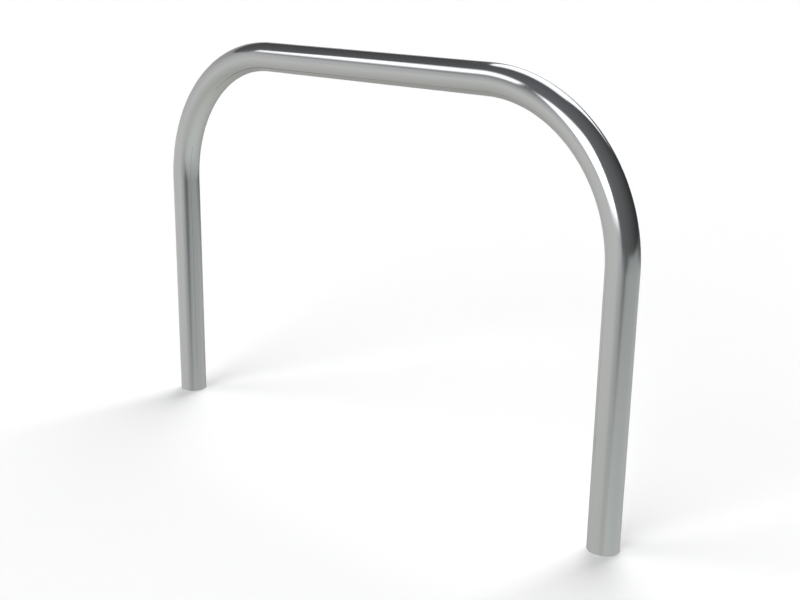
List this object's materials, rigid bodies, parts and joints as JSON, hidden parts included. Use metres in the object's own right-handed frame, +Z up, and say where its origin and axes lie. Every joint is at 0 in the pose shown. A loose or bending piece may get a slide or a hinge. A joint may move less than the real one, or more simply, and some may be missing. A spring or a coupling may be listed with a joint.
{
  "type": "hoop barrier",
  "caption": "Polished stainless-steel hoop barrier: a round tube bent into an inverted U, with roots for casting into the ground, cross anchor bars and end plugs.",
  "frame": {"origin": "ground level, midway between the legs on the hoop's plane", "axes": "+X along the rail from the left leg to the right leg, +Y square to the hoop's plane, +Z up"},
  "size_m": [1.25, 0.18, 1.2],
  "materials": {
    "polished_stainless": "polished stainless steel with a near-mirror shine",
    "ribbed_bar": "hot-rolled ribbed stainless bar, pickled and dull",
    "plug_plastic": "black moulded polyethylene, matt"
  },
  "bodies": {
    "root": {"hoop_tube": "polished_stainless", "left_anchor_bar": "ribbed_bar", "right_anchor_bar": "ribbed_bar", "left_end_plug": "plug_plastic", "right_end_plug": "plug_plastic"}
  },
  "joints": []
}
